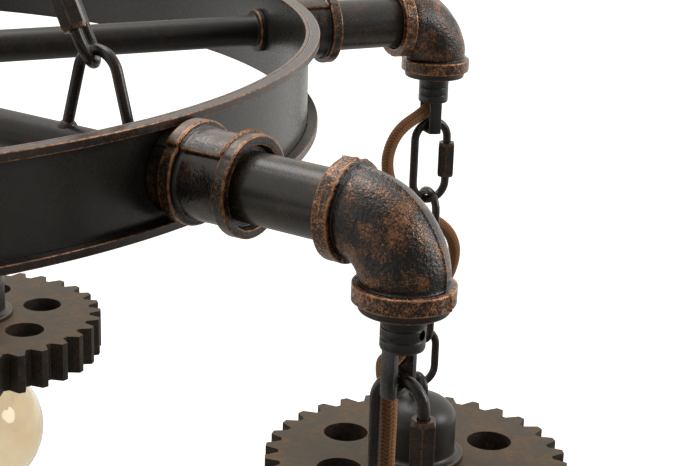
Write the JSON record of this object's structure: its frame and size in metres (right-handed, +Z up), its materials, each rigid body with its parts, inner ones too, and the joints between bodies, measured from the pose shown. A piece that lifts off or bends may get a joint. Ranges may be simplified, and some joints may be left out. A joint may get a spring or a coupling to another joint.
{
  "type": "industrial chandelier",
  "caption": "Industrial chandelier: a channel ring on chains carries pipe-elbow arms, each hanging a gear-shaped shade with a globe bulb from a quick link, a chain and a cord.",
  "frame": {"origin": "on the ceiling face of the mounting bar, midway between the two box screws, on the axis of the ring", "axes": "+Z up, +X along one arm of the ring and along the mounting bar, +Y to the left of it"},
  "size_m": [0.924, 0.8244, 0.9106],
  "materials": {
    "zinc_steel": "zinc plated",
    "dark_bronze": "satin dark bronze",
    "link_bronze": "satin dark bronze with copper-worn edges",
    "ring_bronze": "satin dark bronze",
    "flange_bronze": "satin bronze with rubbed edges",
    "spoke_bronze": "satin dark bronze",
    "cast_fitting": "rough casting, black with copper rubbed high spots",
    "black_pipe": "satin black with brown smudges",
    "loop_graphite": "satin graphite",
    "cup_taupe": "matte taupe grey",
    "gear_taupe": "cast resin, painted matte taupe grey with brown mottling",
    "holder_black": "moulded black",
    "amber_glass": "clear amber glass",
    "brown_cord": "brown herringbone braid"
  },
  "bodies": {
    "mount": {"mounting_bar": "zinc_steel", "ceiling_canopy": "dark_bronze", "canopy_loop": "dark_bronze"},
    "top_link": {"top_link": "dark_bronze"},
    "fixture": {"top_ring": "dark_bronze", "suspension_links": "link_bronze", "suspension_chains": "link_bronze", "lugs": "link_bronze", "ring_web": "ring_bronze", "ring_flanges": "flange_bronze", "spokes": "spoke_bronze", "centre_hub": "spoke_bronze", "hub_lid": "spoke_bronze", "couplings": "cast_fitting", "pipe_nipples": "black_pipe", "elbows": "cast_fitting", "bushings": "black_pipe", "hang_loops": "loop_graphite"},
    "link_1": {"quick_link_1": "link_bronze"},
    "pendant_1": {"chain_1": "link_bronze", "socket_cup_1": "cup_taupe", "gear_shade_1": "gear_taupe", "lampholder_1": "holder_black", "bulb_1": "amber_glass", "cord_1": "brown_cord"},
    "link_2": {"quick_link_2": "link_bronze"},
    "pendant_2": {"chain_2": "link_bronze", "socket_cup_2": "cup_taupe", "gear_shade_2": "gear_taupe", "lampholder_2": "holder_black", "bulb_2": "amber_glass", "cord_2": "brown_cord"},
    "link_3": {"quick_link_3": "link_bronze"},
    "pendant_3": {"chain_3": "link_bronze", "socket_cup_3": "cup_taupe", "gear_shade_3": "gear_taupe", "lampholder_3": "holder_black", "bulb_3": "amber_glass", "cord_3": "brown_cord"},
    "link_4": {"quick_link_4": "link_bronze"},
    "pendant_4": {"chain_4": "link_bronze", "socket_cup_4": "cup_taupe", "gear_shade_4": "gear_taupe", "lampholder_4": "holder_black", "bulb_4": "amber_glass", "cord_4": "brown_cord"},
    "link_5": {"quick_link_5": "link_bronze"},
    "pendant_5": {"chain_5": "link_bronze", "socket_cup_5": "cup_taupe", "gear_shade_5": "gear_taupe", "lampholder_5": "holder_black", "bulb_5": "amber_glass", "cord_5": "brown_cord"},
    "link_6": {"quick_link_6": "link_bronze"},
    "pendant_6": {"chain_6": "link_bronze", "socket_cup_6": "cup_taupe", "gear_shade_6": "gear_taupe", "lampholder_6": "holder_black", "bulb_6": "amber_glass", "cord_6": "brown_cord"}
  },
  "joints": [
    {"name": "top_link_swing", "type": "hinge", "parent": "mount", "child": "top_link", "pos_m": [0, 0, -0.0647], "axis": [1, 0, 0], "range_deg": [-10, 10]},
    {"name": "fixture_swing", "type": "hinge", "parent": "top_link", "child": "fixture", "pos_m": [0, 0, -0.0964], "axis": [0, 1, 0], "range_deg": [-10, 10]},
    {"name": "link_1_swing", "type": "hinge", "parent": "fixture", "child": "link_1", "pos_m": [0.372, 0, -0.58113], "axis": [0, 1, 0], "range_deg": [-20, 20], "deforming": ["cord_1"]},
    {"name": "pendant_1_swing", "type": "hinge", "parent": "link_1", "child": "pendant_1", "pos_m": [0.372, 0, -0.62123], "axis": [1, 0, 0], "range_deg": [-20, 20], "deforming": ["cord_1"]},
    {"name": "link_2_swing", "type": "hinge", "parent": "fixture", "child": "link_2", "pos_m": [0.186, 0.32216, -0.58113], "axis": [-0.866, 0.5, 0], "range_deg": [-20, 20], "deforming": ["cord_2"]},
    {"name": "pendant_2_swing", "type": "hinge", "parent": "link_2", "child": "pendant_2", "pos_m": [0.186, 0.32216, -0.62123], "axis": [0.5, 0.866, 0], "range_deg": [-20, 20], "deforming": ["cord_2"]},
    {"name": "link_3_swing", "type": "hinge", "parent": "fixture", "child": "link_3", "pos_m": [-0.186, 0.32216, -0.58113], "axis": [-0.866, -0.5, 0], "range_deg": [-20, 20], "deforming": ["cord_3"]},
    {"name": "pendant_3_swing", "type": "hinge", "parent": "link_3", "child": "pendant_3", "pos_m": [-0.186, 0.32216, -0.62123], "axis": [-0.5, 0.866, 0], "range_deg": [-20, 20], "deforming": ["cord_3"]},
    {"name": "link_4_swing", "type": "hinge", "parent": "fixture", "child": "link_4", "pos_m": [-0.372, 0, -0.58113], "axis": [0, -1, 0], "range_deg": [-20, 20], "deforming": ["cord_4"]},
    {"name": "pendant_4_swing", "type": "hinge", "parent": "link_4", "child": "pendant_4", "pos_m": [-0.372, 0, -0.62123], "axis": [-1, 0, 0], "range_deg": [-20, 20], "deforming": ["cord_4"]},
    {"name": "link_5_swing", "type": "hinge", "parent": "fixture", "child": "link_5", "pos_m": [-0.186, -0.32216, -0.58113], "axis": [0.866, -0.5, 0], "range_deg": [-20, 20], "deforming": ["cord_5"]},
    {"name": "pendant_5_swing", "type": "hinge", "parent": "link_5", "child": "pendant_5", "pos_m": [-0.186, -0.32216, -0.62123], "axis": [-0.5, -0.866, 0], "range_deg": [-20, 20], "deforming": ["cord_5"]},
    {"name": "link_6_swing", "type": "hinge", "parent": "fixture", "child": "link_6", "pos_m": [0.186, -0.32216, -0.58113], "axis": [0.866, 0.5, 0], "range_deg": [-20, 20], "deforming": ["cord_6"]},
    {"name": "pendant_6_swing", "type": "hinge", "parent": "link_6", "child": "pendant_6", "pos_m": [0.186, -0.32216, -0.62123], "axis": [0.5, -0.866, 0], "range_deg": [-20, 20], "deforming": ["cord_6"]}
  ]
}
